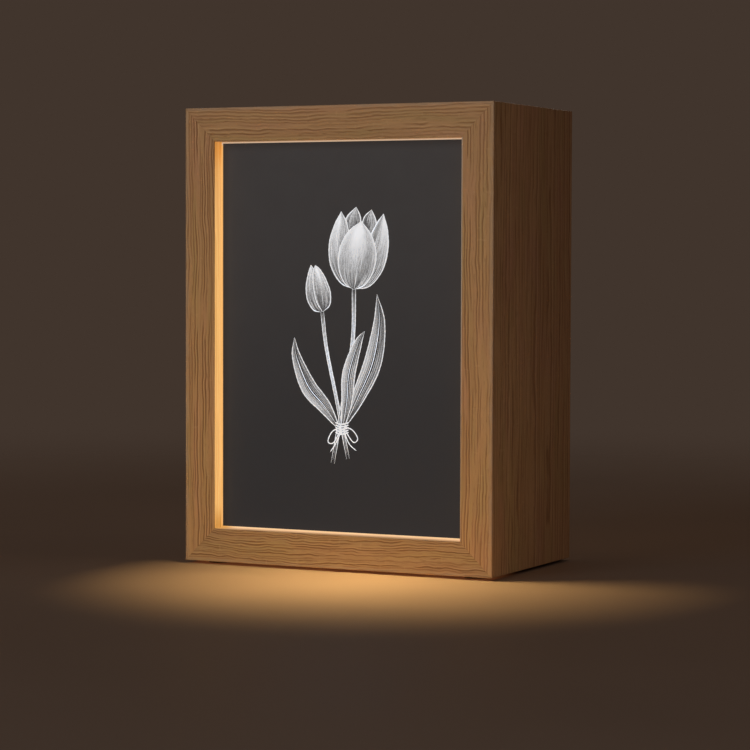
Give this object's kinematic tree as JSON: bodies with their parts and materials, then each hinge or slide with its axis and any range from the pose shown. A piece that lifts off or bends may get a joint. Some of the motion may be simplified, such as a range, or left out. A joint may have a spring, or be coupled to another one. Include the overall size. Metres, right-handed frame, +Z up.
{
  "type": "light box",
  "caption": "Deep mitred oak light box standing on thin pads: a recessed back-lit picture panel with a glowing edge, and a hinged rear door over the electrics.",
  "frame": {"origin": "under the middle of the box, on the surface it stands on", "axes": "+Z up, -Y towards the viewer of the picture, +Y towards the rear door, +X to the viewer's right"},
  "size_m": [0.25, 0.148, 0.339],
  "materials": {
    "oak": "oiled oak, satin",
    "veneer": "oak-veneered plywood, matt",
    "beech": "planed beech",
    "film": "matt charcoal print",
    "opal": "opal acrylic",
    "glow": "opal light edge, lit warm white",
    "white_metal": "white powder coat",
    "white_plastic": "moulded white plastic",
    "board": "white solder mask with lit chips",
    "graphite": "charcoal powder coat, fine texture",
    "black_plastic": "black moulded plastic, satin",
    "brass": "brushed brass",
    "steel": "zinc-plated steel",
    "rubber": "matt black rubber",
    "lead": "black insulated lead",
    "lead_white": "white insulated lead"
  },
  "bodies": {
    "box": {"frame_top": "oak", "frame_bottom": "oak", "frame_left": "oak", "frame_right": "oak", "picture_film": "film", "diffuser_sheet": "opal", "glow_bezel": "glow", "halo_housing": "white_plastic", "halo_strip_top": "board", "halo_strip_bottom": "board", "halo_strip_left": "board", "halo_strip_right": "board", "backlight_strip_left": "board", "backlight_strip_middle": "board", "backlight_strip_right": "board", "light_tray": "white_metal", "cross_batten": "beech", "control_plate": "graphite", "hinge_lower_frame_leaf": "brass", "hinge_lower_pin": "brass", "hinge_upper_frame_leaf": "brass", "hinge_upper_pin": "brass", "hinge_lower_frame_screw_a": "brass", "hinge_lower_frame_screw_b": "brass", "hinge_upper_frame_screw_a": "brass", "hinge_upper_frame_screw_b": "brass", "magnet_catch": "black_plastic", "switch_housing": "black_plastic", "dimmer_body": "black_plastic", "dimmer_nut": "steel", "power_socket": "black_plastic", "led_driver": "black_plastic", "lead_socket": "lead", "lead_switch": "lead", "lead_dimmer": "lead", "lead_backlight": "lead_white", "lead_halo": "lead_white", "tray_screw_left_lower": "steel", "tray_screw_left_upper": "steel", "tray_screw_right_lower": "steel", "tray_screw_right_upper": "steel", "plate_screw_left_lower": "steel", "plate_screw_left_upper": "steel", "plate_screw_right_lower": "steel", "plate_screw_right_upper": "steel", "foot_front_left": "rubber", "foot_front_right": "rubber", "foot_rear_left": "rubber", "foot_rear_right": "rubber"},
    "door": {"rear_door": "veneer", "hinge_lower_door_leaf": "brass", "hinge_upper_door_leaf": "brass", "hinge_lower_door_screw_a": "brass", "hinge_lower_door_screw_b": "brass", "hinge_upper_door_screw_a": "brass", "hinge_upper_door_screw_b": "brass", "strike_plate": "steel"},
    "rocker": {"switch_rocker": "black_plastic"},
    "dimmer": {"dimmer_spindle": "steel", "dimmer_knob": "black_plastic"}
  },
  "joints": [
    {"name": "door_hinge", "type": "hinge", "parent": "box", "child": "door", "pos_m": [-0.1148, 0.0623, 0.20095], "axis": [0, 0, 1], "range_deg": [0, 100]},
    {"name": "rocker_pivot", "type": "hinge", "parent": "box", "child": "rocker", "pos_m": [0, 0.056, 0.04], "axis": [-1, 0, 0], "range_deg": [0, 20]},
    {"name": "dimmer_turn", "type": "hinge", "parent": "box", "child": "dimmer", "pos_m": [0.07, 0.065, 0.04], "axis": [0, 1, 0], "range_deg": [-135, 135]}
  ]
}
